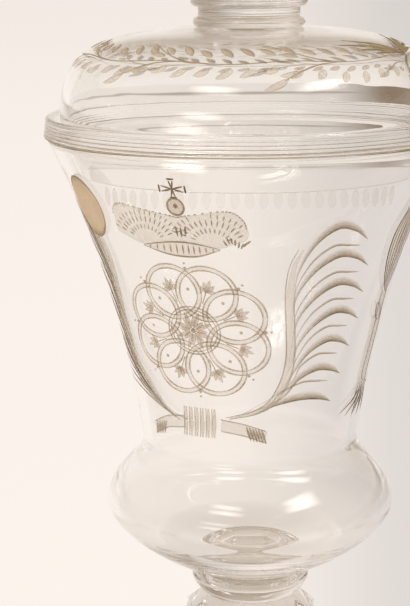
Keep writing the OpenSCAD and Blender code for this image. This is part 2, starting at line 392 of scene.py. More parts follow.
foot_edge = foot_edge_t / 2
land_out_r = foot_r - foot_edge
land_in_r = land_out_r - foot_land_w
foot_hollow = bent((pontil_r, foot_hollow_h), (land_in_r, 0), (0.4, 0), (0.8, 0.75))
foot_w, foot_rise = foot_r - foot_top_r, foot_h - foot_edge_t
foot_upper = curve((land_out_r, foot_edge_t), (foot_r - 0.45 * foot_w, foot_edge_t + 0.12 * foot_rise),
                   (foot_top_r + 0.22 * foot_w, foot_h - 0.3 * foot_rise), (foot_top_r, foot_h))
pontil_z = foot_hollow_h + pontil_t
round_glass("foot", "goblet", outline(
    straight((0, pontil_z), (pontil_r, pontil_z)), foot_hollow, straight((land_in_r, 0), (land_out_r, 0)),
    arc(land_out_r, foot_edge, foot_edge, foot_edge, -90, 90), foot_upper,
    straight((foot_top_r, foot_h), (0, foot_h))), columns=240)

for node in ("foot_merese", "stem_merese"):
    round_glass(node, "goblet", disc(node))

knop_z, knop_top_z = span("ball_knop")
knop_r = reach("ball_knop")
knop_cut = math.degrees(math.acos(knop_seal_r / knop_r))
knop_rise = (knop_top_z - knop_z) / 2 / math.sin(math.radians(knop_cut))
round_glass("ball_knop", "goblet", sealed(
    arc(0, (knop_z + knop_top_z) / 2, knop_r, knop_rise, -knop_cut, knop_cut, 48)))

stem_h = stem_top_z - stem_z
stem_shoulder_z = stem_top_z - stem_shoulder_h
stem_taper = curve((stem_low_r, stem_z), (stem_low_r, stem_z + 0.42 * stem_h),
                   (stem_shoulder_r, stem_shoulder_z - 0.4 * stem_h), (stem_shoulder_r, stem_shoulder_z), 60)
faceted_glass("stem_baluster", "goblet", sealed(
    stem_taper, straight((stem_shoulder_r, stem_shoulder_z), (stem_top_r, stem_top_z))))

merese_z = span("bowl_merese")[0]
merese_r = reach("bowl_merese")
merese_edge_z = bowl_z - bowl_merese_edge
merese_under = bent((bowl_merese_low_r, merese_z), (merese_r, merese_edge_z), (0.4, 0.16), (0.8, 0.55), 24)
round_glass("bowl_merese", "goblet", sealed(
    merese_under, arc(merese_r - bowl_merese_edge, merese_edge_z, bowl_merese_edge, bowl_merese_edge, 0, 90)))

edge_z = lip_z - seat_gap - lip_round
waist_ease = 4.0
round_glass("bowl", "goblet", sealed(
    straight((button_r, bowl_z), (button_r, bulb_z - bulb_low_h)), bulb_low(),
    eased(outline(bulb_high(0), bell(0, edge_z)), waist_z, waist_ease),
    arc(lip_r - lip_round, edge_z, lip_round, lip_round, 0, 90),
    arc(lip_r - bowl_wall + lip_round, edge_z, lip_round, lip_round, 90, 180),
    eased(outline(bulb_high(bowl_wall), bell(bowl_wall, edge_z)), waist_z, waist_ease)[::-1],
    bulb_floor()[::-1]), columns=240)


# Glass of the cover

rim_top_z = lip_z + rim_h
# The grooves between the beads ran soft in the fire, so they are shallow
groove = 0.13
count = np.linspace(0, rim_beads, 16 * rim_beads + 1)
beads_r = rim_r - bead_step * np.clip(count - 0.5, 0, rim_beads - 1)
beads = np.stack([beads_r - groove * (0.5 + 0.5 * np.cos(2 * np.pi * count)), lip_z + bead_h * count], 1)
roll_r, roll_z = beads[-1]
roll_h = rim_top_z - roll_z
roll_end = (roll_r - 0.7 * roll_h, rim_top_z)
roll = curve((roll_r, roll_z), (roll_r + 0.1 * roll_h, roll_z + 0.6 * roll_h),
             (roll_r - 0.1 * roll_h, rim_top_z), roll_end, 24)
inside = bell(bowl_wall, lip_z)
lean = math.degrees(math.atan(flange_slope))
flange_edge = flange_t / 4
flange_z = lip_z - flange_h
flange_r = float(np.interp(flange_z, *inside.T[::-1])) - flange_clearance
flange_top_r = flange_r + flange_slope * flange_h
flange_end = arc(flange_r - flange_edge, flange_z + flange_edge, flange_edge, flange_edge,
                 180 - lean, 360 - lean)
throat_h = rim_top_z - flange_end[0, 1]
inner_r = dome_r - cover_wall
throat = curve((inner_r, rim_top_z), (inner_r, rim_top_z - 0.1 * throat_h),
               flange_end[0] + 0.7 * throat_h * np.array([flange_slope, 1]), flange_end[0])
tool_pitch = 1.7
tool_depth = 0.05
tool_fade = 7.0
round_glass("cover_dome", "cover", outline(
    straight((0, dome_top_z - cover_wall), (collar_seal_r, dome_top_z - cover_wall)),
    dome(cover_wall)[::-1], throat, flange_end, straight(flange_end[-1], (flange_top_r, lip_z)),
    straight((flange_top_r, lip_z), (rim_r - groove, lip_z)), beads, roll,
    straight(roll_end, (dome_r, rim_top_z)),
    tooled(dome(0, 220), tool_pitch, tool_depth, collar_seal_r, tool_fade),
    straight((collar_seal_r, dome_top_z), (0, dome_top_z))), columns=240)

collar_top_z = span("cover_collar")[1]
collar_ring = collar_ring_h / 2
neck_half = (collar_top_z - dome_top_z - collar_ring_h) / 2
neck_r = collar_seal_r + collar_neck_cut
round_glass("cover_collar", "cover", outline(
    straight((0, dome_top_z - seal_lap), (collar_seal_r, dome_top_z - seal_lap)),
    arc(reach("cover_collar") - collar_ring, dome_top_z + collar_ring, collar_ring, collar_ring, -90, 90),
    arc(neck_r, collar_top_z - neck_half, collar_neck_cut, neck_half, 270, 90),
    straight((neck_r, collar_top_z), (0, collar_top_z))))
round_glass("cover_merese", "cover", disc("cover_merese"))

belly_z = finial_z + finial_belly_h
finial_swell = bent((finial_low_r, finial_z), (finial_belly_r, belly_z), (0.6, 0.2), (1, 0.5), 24)
finial_taper = bent((finial_belly_r, belly_z), (finial_top_r, tip_z), (0, 0.36), (1, 0.58))
faceted_glass("finial_baluster", "cover", sealed(finial_swell, finial_taper))

tip_top_z = span("finial_tip")[1]
tip_r = reach("finial_tip")
tip_cut = math.degrees(math.acos(tip_seal_r / tip_r))
tip_rise = (tip_top_z - tip_z) / (1 + math.sin(math.radians(tip_cut)))
tip_ball = arc(0, tip_top_z - tip_rise, tip_r, tip_rise, -tip_cut, 90, 40)
round_glass("finial_tip", "cover", sealed(tip_ball[:-1], [[0, tip_top_z]]), columns=120)


# Engraving: cuts that lie along paths on a wall

def as_seen(share):
    """Angle round a wall of a place that is seen from the front at a share of the radius beside the axis."""
    return np.arcsin(np.clip(share, -1, 1))


def wall_of(points, ups, girth, middle=0.0, angle_of=np.asarray):
    """A wall to cut into about a middle direction: radius, height, outward lean and girth at places up it.

    The girth is the radius that distances round the wall are measured at; a distance over it gives the angle.
    """
    rise = np.gradient(points, axis=0)
    lean = np.stack([rise[:, 1], -rise[:, 0]], 1) / np.linalg.norm(rise, axis=1, keepdims=True)
    return math.radians(middle), angle_of, ups, (*points.T, *lean.T, np.broadcast_to(girth, len(ups)))


def on_wall(wall, spots, lift):
    """Points at spots, each a distance to the right of a wall's middle and a place up it, lifted outwards."""
    middle, angle_of, ups, columns = wall
    radius, height, lean_r, lean_z, girth = (np.interp(spots[..., 1], ups, values) for values in columns)
    angle = middle + angle_of(spots[..., 0] / girth)
    out = radius + lift * lean_r
    return np.stack([out * np.sin(angle), -out * np.cos(angle), height + lift * lean_z], -1)


def through(points, count):
    """Smooth path through a few points: a Catmull-Rom curve in even steps of its parameter."""
    p = np.array(points, float)
    p = np.concatenate([[2 * p[0] - p[1]], p, [2 * p[-1] - p[-2]]])
    t = np.linspace(0, len(p) - 3, count)
    i = np.minimum(t.astype(int), len(p) - 4)
    t = (t - i)[:, None]
    a, b, c, d = p[i], p[i + 1], p[i + 2], p[i + 3]
    return b + 0.5 * t * (c - a + t * (2 * a - 5 * b + 4 * c - d + t * (3 * (b - c) + d - a)))


def pillow(wall, spots, tone, strength, crest=0.05, depth=0.22):
    """Closed thin cuts over grids of places on a wall, k cuts of n by m places.

    With v across and w along, both from -1 to 1, the face lies (1 - v^2)(1 - w^6) of a crest above the wall
    and the back as much of a depth inside it, so that both meet in one edge.
    """
    k, n, m = spots.shape[:3]
    puff = (1 - np.linspace(-1, 1, m)**2) * (1 - np.linspace(-1, 1, n)**6)[:, None]
    face = on_wall(wall, spots, crest * puff)
    back = on_wall(wall, spots, -depth * puff)[:, 1:-1, 1:-1]
    points = np.concatenate([face.reshape(k, -1, 3), back.reshape(k, -1, 3)], 1)
    front = np.arange(n * m).reshape(n, m)
    rear = front.copy()
    rear[1:-1, 1:-1] = n * m + np.arange((n - 2) * (m - 2)).reshape(n - 2, m - 2)
    front, rear = (np.stack([g[:-1, :-1], g[1:, :-1], g[1:, 1:], g[:-1, 1:]], -1).reshape(-1, 4)
                   for g in (front, rear))
    quads = np.concatenate([front, rear[:, ::-1]])
    quads = (quads + np.arange(k)[:, None, None] * points.shape[1]).reshape(-1, 4)
    looks = (np.broadcast_to(value, (k, n, m)) for value in (tone, strength))
    looks = (np.concatenate([v.reshape(k, -1), v[:, 1:-1, 1:-1].reshape(k, -1)], 1).ravel() for v in looks)
    return points.reshape(-1, 3), quads, *looks


def sideways(lines):
    """Directions across paths, to the left of the way that they run."""
    along = np.gradient(lines, axis=-2)
    along /= np.linalg.norm(along, axis=-1, keepdims=True)
    return np.stack([-along[..., 1], along[..., 0]], -1)


def strokes(wall, lines, half, tone=0.5, strength=0.9, wide=3):
    """Cuts along paths: each place of a path is spread to both sides by a half width."""
    lines = np.array(lines, float)
    spread = np.broadcast_to(half, lines.shape[:2])[..., None] * np.linspace(-1, 1, wide)
    return pillow(wall, lines[:, :, None] + sideways(lines)[:, :, None] * spread[..., None], tone, strength)


def field(wall, low, high, tone, strength, wide=9):
    """A matt field between a lower and an upper path."""
    share = np.linspace(0, 1, wide)[:, None]
    return pillow(wall, (low[:, None] + (high - low)[:, None] * share)[None], tone, strength)


def spot_field(wall, centre, radius, tone, strength):
    """A round matt spot: columns of height sqrt(1 - u^2) across its width."""
    u = -np.cos(np.linspace(0.02, 0.98, 15) * np.pi)
    low, high = (np.stack([u, way * np.sqrt(1 - u**2)], 1) * radius + centre for way in (-1, 1))
    return field(wall, low, high, tone, strength, 7)


def swelling(count, most, least=0.1, late=1.0):
    """Half widths along a cut: half a sine wave from end to end, widest at the middle or beside it."""
    t = np.linspace(0, 1, count)
    return least + (most - least) * np.sin(np.pi * t**late)


def leaves(wall, places, directions, length, half, bend, tone, edge, strength):
    """Oval leaves from places on a wall in directions, in degrees from the right.

    A leaf's half width is about half sin(pi t)^0.7 at a share t of its length, and it bows by a bend. Its
    tone runs from one edge to the other by twice the edge's share.
    """
    t = np.linspace(0, 1, 11)
    a = np.radians(np.asarray(directions, float))
    length = np.broadcast_to(length, a.shape)[:, None, None]
    ahead, aside = np.stack([np.cos(a), np.sin(a)], -1), np.stack([-np.sin(a), np.cos(a)], -1)
    bow = 4 * bend * t * (1 - t)
    lines = length * (ahead[:, None] * t[:, None] + aside[:, None] * bow[:, None])
    lines += np.asarray(places, float)[:, None]
    widths = 0.05 + half * np.sin(np.pi * t)**0.7 * (1.12 - 0.24 * t)
    return strokes(wall, lines, widths, tone + edge * np.linspace(-1, 1, 5), strength, 5)


def ticks(places, directions, length, most, least, tone, strength=0.9):
    """Short straight cuts on the front from places in directions, in degrees from the right."""
    a = np.radians(directions)
    way = np.stack([np.cos(a), np.sin(a)], -1) * np.broadcast_to(length, a.shape)[..., None]
    lines = np.asarray(places, float)[:, None] + way[:, None] * np.linspace(0, 1, 7)[:, None]
    return front_cut(lines, swelling(7, most, least), tone, strength)


def round_path(centre, radius, count, start=90.0):
    """A ring about a centre as one path that ends where it starts."""
    a = np.radians(np.linspace(start, start + 360, count))
    return np.asarray(centre, float) + radius * np.stack([np.cos(a), np.sin(a)], -1)


def doubled(path, apart):
    """A path drawn as two lines a little apart."""
    aside = sideways(path) * apart / 2
    return [path + aside, path - aside]


def matt_cut(name, shallow, middling, deep):
    """Matt wheel cutting, pale to brown by a tone that also holds painted shade, with a fine ground grain."""
    n = Nodes(bpy.data.materials.new(name))
    place = n.add("TexCoord").outputs["Object"]
    tone, strength = (n.add("Attribute", {"attribute_name": key}).outputs["Fac"]
                      for key in ("tone", "strength"))
    grain = n.noise(place, 2200.0, 2.0)
    stain = n.spread(n.noise(place, 140.0, 3.0), 0.3, 0.7, -0.16, 0.16)
    uneven = n.math("ADD", n.spread(grain, 0.3, 0.7, -0.2, 0.2), stain)
    # The tone gives each cut its colour, and along the lower edges of the palm's fronds it paints shade
    colour = n.ramp(n.math("ADD", uneven, tone), (0.0, shallow), (0.5, middling), (1.0, deep))
    share = n.math("MULTIPLY", strength, n.spread(grain, 0.3, 0.6, 0.72, 1.0))
    bump = n.add("Bump", Strength=0.6, Distance=0.00005, Height=grain)
    rough = n.spread(grain, 0.0, 1.0, 0.55, 0.85)
    return n.finish("Material", n.add("BsdfPrincipled", Base_Color=colour, Roughness=rough, Alpha=share,
                                      Normal=bump.outputs["Normal"], Specular_IOR_Level=0.0))


engraved_glass = matt_cut("engraved_glass", (0.8, 0.71, 0.58), (0.49, 0.39, 0.245), (0.18, 0.12, 0.06))
golden_glass = matt_cut("golden_glass", (0.86, 0.74, 0.54), (0.6, 0.46, 0.26), (0.3, 0.2, 0.1))


def engraved(name, body, cuts, material=engraved_glass):
    """One engraved piece from several sets of cuts."""
    points, quads, tones, strengths = zip(*cuts)
    starts = np.cumsum([0] + [len(p) for p in points])
    quads = np.concatenate([q + start for q, start in zip(quads, starts)])
    piece = new_piece(name, np.concatenate(points), material, quads)
    for key, values in (("tone", tones), ("strength", strengths)):
        values = np.concatenate(values).astype(np.float32)
        piece.data.attributes.new(key, "FLOAT", "POINT").data.foreach_set("value", values)
    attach(piece, body)


# Walls of the bell, each about the direction that its engraving is centred on
bell_run = bell(0, edge_z)
bell_wall = partial(wall_of, bell_run, bell_run[:, 1], bell_run[:, 0])
bell_front, bell_left, bell_back = bell_wall(-22.0), bell_wall(-63.0), bell_wall(180.0)
# At the sides, distances across are as seen from the front
bell_side = bell_wall(0.0, as_seen)
front_cut = partial(strokes, bell_front)
side_cut = partial(strokes, bell_side)


def right_palm():
    """A palm branch on the right: a pale stem that curves up from the tie, with fronds off its outer edge.

    Broad fronds and thin ones take turns. Each runs up along the stem, arches over by shares of its way to
    the tip and droops there. It is painted dark along its lower edge as the shade in a wheel-cut groove, pale
    at its upper one, and fades to its root.
    """
    stem = through([(8, 172), (18.5, 175.3), (24, 181.5), (27.2, 190), (28.3, 200.5), (29.2, 211),
                    (31.2, 219), (34.6, 224.5)], 48)
    step = np.linspace(0, 1, 13)
    broad = np.arange(13) % 2 == 0
    tip_x = np.interp(step, (0, 0.17, 0.5, 1), (56.5, 56.5, 52.3, 40.1)) - np.where(broad, 0, 3.0)
    tip_z = 225.6 - 50.4 * step + np.where(broad, 0, 2.7)
    droop = np.where(broad, 5.6 - 2.4 * step, 0.8)
    base_z = np.maximum(tip_z + droop - (14.0 - 6 * step), stem[0, 1] + 1.5)

    def beside(z, gap):
        """Places at heights, a gap to the right of the stem."""
        z = np.maximum(z, stem[0, 1])
        return np.stack([np.interp(z, *stem.T[::-1]) + gap, z], 1)

    base = beside(base_z, 1.3)
    way = np.stack([tip_x - base[:, 0], tip_z + droop - base_z], 1)
    sink = np.stack([0 * droop, droop], 1)
    spots = [beside(base_z - 20, -0.4), beside(base_z - 10, 1.0), base, base + way * (0.26, 0.66),
             base + way * (0.58, 1.0), base + way * (0.83, 1.0) - 0.24 * sink, base + way - sink]
    count = 34
    fronds = [through(frond, count) for frond in np.stack(spots, 1)]
    widths = np.array([swelling(count, half, 0.07, 2.2) for half in np.where(broad, 1.45, 0.45)])
    fade = np.interp(np.linspace(0, 1, count), (0, 0.3, 0.62), (0.2, 0.4, 1.0))[:, None]
    # Painted shade: the tones run from dark at each frond's lower edge to pale at its upper one
    yield front_cut(fronds, widths, np.array([0.76, 0.6, 0.45, 0.3, 0.15, 0.0, -0.16]),
                    np.array([0.96, 0.72, 0.54, 0.42, 0.3, 0.12, 0.0]) * fade, 7)
    yield front_cut([stem], swelling(48, 1.5, 0.3, 0.8), 0.0, 0.2, 5)
    yield front_cut([stem - (1.5, 0)], swelling(48, 0.2, 0.1), 0.4, 0.5)


def left_palm():
    """A palm at the left side, where the wall turns away: long blades run in from the outline to a soft stem.

    At a share t of its length a blade still keeps (1 - t)^1.8 of the way between the stem and the outline.
    Each has a deep outer edge, a pale face and a thin inner edge.
    """
    tips = np.array([234.2, 229.7, 224, 214.2, 204.7, 194.3, 190.8, 186, 182, 178.7])
    t = np.linspace(0, 1, 24)
    up = tips[:, None] - np.minimum(30, tips - 169.5)[:, None] * t
    stem_ups = (169, 172.5, 179.3, 186.6, 199, 216.8, 226.1, 234.2)
    stem_outs = (20, 24.8, 30.2, 35, 38.5, 41.8, 44.6, 49.5)

    def run_in(ups, shares):
        """Places at heights, at shares of the way from the stem to the outline."""
        outer = 0.985 * np.interp(ups, *bell_run.T[::-1])
        inner = np.interp(ups, stem_ups, stem_outs)
        return np.stack([-inner - (outer - inner) * shares, ups], -1)

    blades = run_in(up, (1 - t)**1.8)
    down = np.linspace(230, 177, 32)
    stem = through([(-18.5, 170.4), (-24.2, 172.5), (-29.6, 179.3), (-34.3, 186.6), (-37.7, 199.2),
                    (-40.7, 216.7), (-44.4, 227)], 48)
    fade = np.interp(t, (0, 0.5, 1), (1.0, 0.85, 0.15))[:, None]
    size = np.interp(tips, (178, 205), (0.6, 1.0))[:, None]
    yield side_cut([stem], swelling(48, 0.9, 0.3, 1.6), 0.1, 0.3, 5)
    yield field(bell_side, run_in(down, 0.5), run_in(down, 0.0), 0.0, 0.18)
    yield side_cut(blades, size * swelling(24, 0.23, 0.07, 0.6), 1.3, fade)
    yield side_cut(blades + (0.42, 0), size * swelling(24, 0.16, 0.05, 0.6), -0.2, 0.45 * fade)
    yield side_cut(blades + (0.72, 0), size * swelling(24, 0.07, 0.03, 0.6), 0.4, 0.4 * fade)


def crown():
    """A cap of state: a grained cap of two humps with ermine strokes, a hatched band, an orb and a cross."""
    top = through([(-23.2, 231), (-22.4, 235), (-19.5, 236.8), (-12, 236), (-3.5, 234.8), (0, 234.2),
                   (3.5, 234.8), (12, 236.2), (16.5, 236), (19.2, 233.4), (19.8, 230)], 41)
    base = through([(-23.2, 230.6), (-22.5, 228), (-19, 226.8), (-13, 225), (-6, 226.2), (0, 226.8),
                    (5, 226.4), (11, 225.2), (14.5, 226.2), (18.6, 227.6), (19.8, 229.6)], 41)
    band_top = through([(-13, 224.9), (-6, 226.2), (0, 226.7), (5, 226.2), (11, 224.9)], 25)
    band_low = through([(-13, 224.7), (-6, 222.9), (0, 222.3), (5, 222.7), (11, 224.7)], 25)
    yield field(bell_front, base, top, 0.0, 0.21)
    yield field(bell_front, band_low, band_top, -0.1, 0.24, 5)
    yield front_cut([band_top, band_low], swelling(25, 0.26, 0.1), 0.5, 0.75)
    tall = (band_top - band_low)[2:-2:2]
    hatch = band_low[2:-2:2] + tall * 0.18
    yield ticks(hatch, np.full(len(hatch), 90.0), tall[:, 1] * 0.64, 0.28, 0.1, 0.4, 0.7)
    brim = top[2:-2]
    heading = np.degrees(np.arctan2(*np.gradient(brim, axis=0).T[::-1]))
    yield ticks(brim - (0.4, 0), heading, 0.8, 0.24, 0.1, 0.4, 0.58)
    for hump in (-11.5, 9.0):
        for far, length, deep in ((4.4, 1.5, 0.4), (7.0, 1.9, 0.55), (9.6, 1.6, 0.35)):
            fan = np.linspace(24, 156, 7 + int(far))
            a = np.radians(fan)
            start = np.stack([hump + far * np.cos(a) * 1.15, 226.2 + far * np.sin(a) * 0.82], 1)
            inside = (start[:, 1] < np.interp(start[:, 0], *top.T) - length) & (start[:, 0] < 17.5)
            yield ticks(start[inside], fan[inside], length, 0.22, 0.1, deep, 0.62)
    yield ticks([(-0.9, 228.4), (0.3, 228.2), (1.5, 228.6)], (96, 90, 84), 3.0, 0.32, 0.1, 0.7)
    tuft = np.stack([np.linspace(13.2, 18.4, 8), 226 + 0.8 * np.sin(np.arange(8))], 1)
    yield ticks(tuft, np.linspace(120, 35, 8), 1.9, 0.3, 0.1, 0.5)
    yield spot_field(bell_front, (0, 237.3), 2.5, 0.1, 0.42)
    yield front_cut([round_path((0, 237.3), 2.5, 33)], 0.3, 0.5)
    yield spot_field(bell_front, (0, 237.5), 0.7, 0.9, 0.95)
    cross_z = 242.6
    arms = np.arange(0, 360, 90)
    for turn_by in (-14, 14):
        yield ticks([(0, cross_z)] * 4, arms + turn_by, (3.4, 2.5, 3.4, 2.5), 0.26, 0.14, 0.8)
    ends = [(3.9, cross_z - 1.1), (-1.1, cross_z + 2.9), (-3.9, cross_z - 1.1), (-1.1, cross_z - 2.6)]
    yield ticks(ends, (90, 0, 90, 0), 2.2, 0.3, 0.2, 0.85)


def strapwork():
    """A wreath of plain strapwork: eight rings linked in a round, with leaves, pearls and a star inside."""
    centre = np.array([-0.5, 199.3])
    squeeze = np.array([1.1, 1.0])
    spokes = np.radians(np.arange(8) * 45.0 + 22.5)
    outward, between = (np.stack([np.sin(a), np.cos(a)], 1) for a in (spokes, spokes + np.pi / 8))
    bands = [centre + squeeze * (12.7 * way + round_path((0, 0), 7.9, 73, start=0.0)) for way in outward]
    lines = [line for band in bands for line in doubled(band, 1.3)]
    lines += doubled(centre + squeeze * round_path((0, 0), 7.0, 73), 0.9)
    yield front_cut(lines, 0.2 + 0.07 * np.sin(np.linspace(0, 30, 73)), 0.28, 0.58)
    yield front_cut(bands, 0.5, 0.0, 0.16, 5)
    for far, size in ((20.9, 0.34), (19.4, 0.48), (12.9, 0.5)):
        for place in centre + squeeze * between * far:
            yield spot_field(bell_front, place, size, 0.3, 0.6)
    facing = 90 - np.degrees(spokes)
    for lean, length in ((-62, 2.6), (-30, 3.4), (0, 4.2), (30, 3.4), (62, 2.6)):
        yield leaves(bell_front, centre + squeeze * outward * 13.2, facing + lean, length, 0.62, 0.0, 0.1,
                     0.14, 0.42)
    yield ticks(centre + squeeze * outward * 9.4, facing, 3.8, 0.16, 0.16, 0.36, 0.6)
    for turn_by, length in ((0, 5.4), (22.5, 3.6)):
        yield leaves(bell_front, centre + outward * 0.8, facing + turn_by, length, 0.66, 0.0, 0.12,
                     0.14, 0.45)
    yield spot_field(bell_front, centre, 0.75, 0.4, 0.75)


def tie():
    """The tie below: upright bands round the crossing stems, and the two cut ends with their hatching."""
    lines = np.array([through([(x, 174.6), (x - 0.35, 170), (x - 0.7, 165.2)], 11)
                      for x in np.linspace(-5.9, 3.3, 6)])
    yield front_cut(lines, swelling(11, 0.62, 0.25), 0.05, 0.36)
    yield front_cut(lines - (0.75, 0), 0.14, 0.4, 0.55)
    for side, slant in ((-1, 1.5), (1, 0.6)):
        x0, x1 = side * 6.0 - 1, side * 19.0 - 1
        end = through([(x0, 169.5), ((x0 + x1) / 2, 168.3), (x1, 166.6 - slant)], 15)
        yield front_cut([end], 1.85, 0.0, 0.2, 5)
        for rise, tone in ((1.9, 0.4), (-1.9, 0.45)):
            yield front_cut([end + (0, rise)], 0.16, tone, 0.5)
        hatch = np.stack([np.linspace(x1 - side * 4.4, x1, 6), np.linspace(165.5, 164.4, 6) - slant], 1)
        yield ticks(hatch, np.full(6, 90 + 14 * side), 4.6, 0.36, 0.12, 0.4, 0.7)


def side_spray():
    """A tall leaf of long strokes at the right side, its stalk with a loop, and a tassel at the stalk's foot.

    The strokes lie at even shares between the leaf's inner and outer edge.
    """
    inner = through([(49.5, 237.5), (46.4, 232.3), (42.7, 225.9), (40.7, 219.3), (39.9, 211.9),
                     (40.3, 206.8)], 31)
    outer = through([(52.2, 237), (51.2, 232.3), (48.9, 225.9), (46.5, 219.3), (43.6, 211.9),
                     (40.7, 206.2)], 31)
    blades = inner + (outer - inner) * np.linspace(0.14, 0.92, 6)[:, None, None]
    stalk = through([(40.4, 206.6), (39.3, 202), (38.2, 195.2), (36, 185.2), (34.6, 178.5),
                     (35.2, 175.8)], 31)
    loop = np.array([38.4, 200.4]) + round_path((0, 0), 1.0, 33) * (0.8, 3.0)
    ends = np.array([(26.8, 169.8), (28.6, 168.4), (30.6, 167.4), (32.4, 166.8), (34, 166.6)])
    roots = np.array([34.6, 176.8]) + np.linspace(-0.6, 0.6, 5)[:, None] * (1, 0)
    bends = roots + (ends - roots) * (0.42, 0.55)
    tassel = [through(spots, 11) for spots in zip(roots, bends, ends)]
    yield field(bell_side, inner, outer, 0.0, 0.22)
    yield side_cut(blades, swelling(31, 0.12, 0.03), 1.0, 0.8)
    yield side_cut([inner], swelling(31, 0.18, 0.05), 1.1, 0.95)
    yield side_cut([stalk], np.linspace(0.85, 0.55, 31), 0.0, 0.3, 5)
    yield side_cut([stalk + (0.65, 0)], swelling(31, 0.13, 0.08), 0.9, 0.85)
    yield side_cut([loop], 0.12, 0.9, 0.85)
    yield side_cut(tassel, swelling(11, 0.24, 0.04), 0.8, 0.95)


def frieze():
    """A row of upright ovals round the back, below the lip."""
    across = np.arange(-60, 61, 5.0)
    ups = 221 + 0.0014 * across[:, None]**2 + np.linspace(0, 6, 9)
    ovals = np.stack(np.broadcast_arrays(across[:, None], ups), -1)
    rounded = 0.15 + 1.6 * np.sqrt(np.sin(np.pi * np.linspace(0, 1, 9)).clip(0))
    strength = 0.05 + 0.1 * (across / 60)**2
    yield strokes(bell_back, ovals, rounded, 0.1, strength[:, None, None], 5)


for name, cuts in (("palm_right", right_palm), ("palm_left", left_palm), ("crown", crown),
                   ("strapwork", strapwork), ("tie", tie), ("side_spray", side_spray)):
    engraved("engraved_" + name, "goblet", cuts())
# A round matt disc with a darker edge at the left side
engraved("engraved_disc", "goblet", [spot_field(bell_left, (0, 233.5), 9.2, 0.02, 0.74), strokes(
    bell_left, [round_path((0, 233.5), 9.0, 49)], 0.3, 0.5, 0.8)], golden_glass)
engraved("engraved_frieze", "goblet", frieze())

# Places up the dome are measured along its outline, and round it on the ring that the garland's stem follows
garland_up = 21.0
dome_run = dome(0)
dome_up = np.concatenate([[0], np.cumsum(np.linalg.norm(np.diff(dome_run, axis=0), axis=1))])
garland_r = float(np.interp(garland_up, dome_up, dome_run[:, 0]))
# The garland is tied at the right side
shoulder = wall_of(dome_run, dome_up, garland_r, 66.0)
shoulder_cut = partial(strokes, shoulder)


def branch(way):
    """A branch of laurel that grows one way from the tie, -1 to the left or 1 to the right, to the far side.

    It has a long thin stem, pairs of oval leaves that point along it, and side shoots that end in a leaf.
    """
    t = np.linspace(0, 1, 121)
    stem = np.stack([way * t * math.radians(173) * garland_r, garland_up + 0.6 * np.sin(t * 26)], 1)
    yield shoulder_cut([stem], swelling(121, 0.22, 0.1), 0.5, 0.8)
    pairs = 24
    ahead = 90 - way * 90
    at = np.linspace(0.04, 0.985, pairs)
    joint = np.stack([np.interp(at, t, values) for values in stem.T], 1)
    sway = np.sin(np.arange(pairs) * 2.4)
    yield leaves(shoulder, joint + (way * 0.3, 2.9), ahead + way * (45 + 6 * sway), 6.4 + 0.7 * sway, 1.2,
                 0.04 * way, 0.34, 0.2 * way, 0.66)
    hang = np.interp(at, (0.08, 0.2, 0.33), (70.0, 66, 33)) + 5 * sway
    size = np.interp(at, (0.2, 0.33), (3.8, 5.2)) + 0.4 * sway
    below = np.stack([0 * at, np.interp(at, (0.2, 0.33), (3.6, 2.0))], 1)
    yield leaves(shoulder, joint - below, ahead - way * hang, size, 1.1, -0.06 * way, 0.06, 0.18 * way, 0.36)
    for rise, shares, wide, tall, slope, drop, tone in (
            (1, (0.19, 0.456, 0.69, 0.9), 24.0, 12.0, 34, 1.6, 0.3),
            (-1, (0.21, 0.517, 0.79), 20.0, 8.5, 28, 0.0, 0.05)):
        bend = through([(0, 0), (0.35 * wide, 0.12 * tall), (0.7 * wide, 0.5 * tall), (wide, tall)], 17)
        for share in shares:
            shoot = [np.interp(share, t, values) for values in stem.T] + np.array([way, rise]) * bend
            yield shoulder_cut([shoot[:14]], swelling(14, 0.26, 0.12), 0.45, 0.75)
            yield leaves(shoulder, shoot[[12, 9]] - (0, drop), ahead + way * rise * np.array([slope, 12]),
                         (7.2, 6.0), 1.0, 0.07 * way * rise, tone, 0.2 * way, 0.36 + 0.8 * tone)


def garland():
    """Laurel round the cover's shoulder: two branches grow apart from a tie of narrow leaves on a stalk."""
    yield from branch(-1)
    yield from branch(1)
    fan = np.array([146.0, 153, 159, 165, 171, 176])
    for leans, bow in ((fan, -0.05), (180 - fan, 0.05)):
        yield leaves(shoulder, [(0, garland_up + 1)] * 6, leans, (15.0, 24, 18, 27, 21, 15),
                     0.62, bow, 0.66, 0.16, 0.88)
    stalk = through([(0, garland_up), (-5, garland_up - 3), (-7, garland_up - 8)], 13)
    yield shoulder_cut([stalk], swelling(13, 0.5, 0.25), 0.6, 0.85)
    knot = through([(-7, garland_up - 7), (-7.2, garland_up - 9), (-7.3, garland_up - 11.5)], 9)
    yield shoulder_cut([knot], 1.1, 0.22, 0.7, 5)


def rim_lines():
    """Fine brown lines in the grooves of the rim, all round but fading at the back.

    The lowest one is widest at the left, by a bell curve over the angle: painted shade under the lip there.
    """
    angle = np.linspace(-180, 180, 241)
    # Painted shade under the lip at the left: the lowest line grows wider and higher there
    painted_shade_at_left = np.array([0.22, 0, 0, 0, 0])[:, None] * np.exp(-((angle + 78) / 14)**2)
    ups = lip_z + bead_h * np.array([0.15, 1, 2, 3, 4])[:, None] + 0.7 * painted_shade_at_left
    lines = np.stack(np.broadcast_arrays(np.radians(angle) * rim_r, ups), -1)
    full = np.array([0.85, 0.8, 0.65, 0.5, 0.35])[:, None]
    strength = (full * np.interp(np.abs(angle), (45, 75, 110), (1.0, 0.45, 0.05)))[..., None]
    yield strokes(wall_of(beads, beads[:, 1], rim_r), lines, 0.1 + painted_shade_at_left, 0.55, strength)


